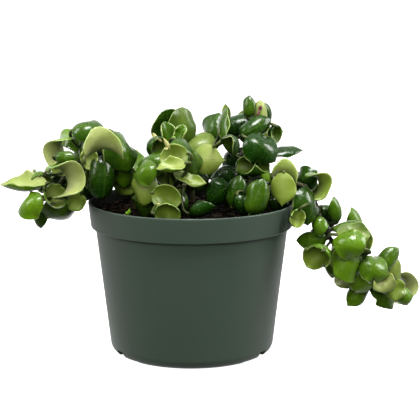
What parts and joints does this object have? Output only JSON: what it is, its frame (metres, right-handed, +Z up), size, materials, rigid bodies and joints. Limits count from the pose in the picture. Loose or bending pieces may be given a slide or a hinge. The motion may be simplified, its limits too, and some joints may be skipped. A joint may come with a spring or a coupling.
{
  "type": "potted hindu rope plant",
  "caption": "Hindu rope plant: thick waxy leaves, curled and folded tightly along trailing stems, growing in a tapered plastic nursery pot.",
  "frame": {"origin": "on the pot's axis, at the underside of its base, where it stands on a flat surface", "axes": "+Z up, +X to the right towards the longest trailing stem, -Y to the front"},
  "size_m": [0.307, 0.1828, 0.1905],
  "materials": {
    "pot_plastic": "satin",
    "potting_mix": "matte",
    "waxy_leaf": "satin"
  },
  "bodies": {
    "root": {"nursery_pot": "pot_plastic", "potting_soil": "potting_mix", "leafy_stem_left": "waxy_leaf", "leafy_stem_middle": "waxy_leaf", "leafy_stem_upper": "waxy_leaf", "leafy_stem_right": "waxy_leaf", "leafy_stem_trailing": "waxy_leaf", "leafy_stem_rear_left": "waxy_leaf", "leafy_stem_rear": "waxy_leaf", "leafy_stem_rear_right": "waxy_leaf"}
  },
  "joints": []
}
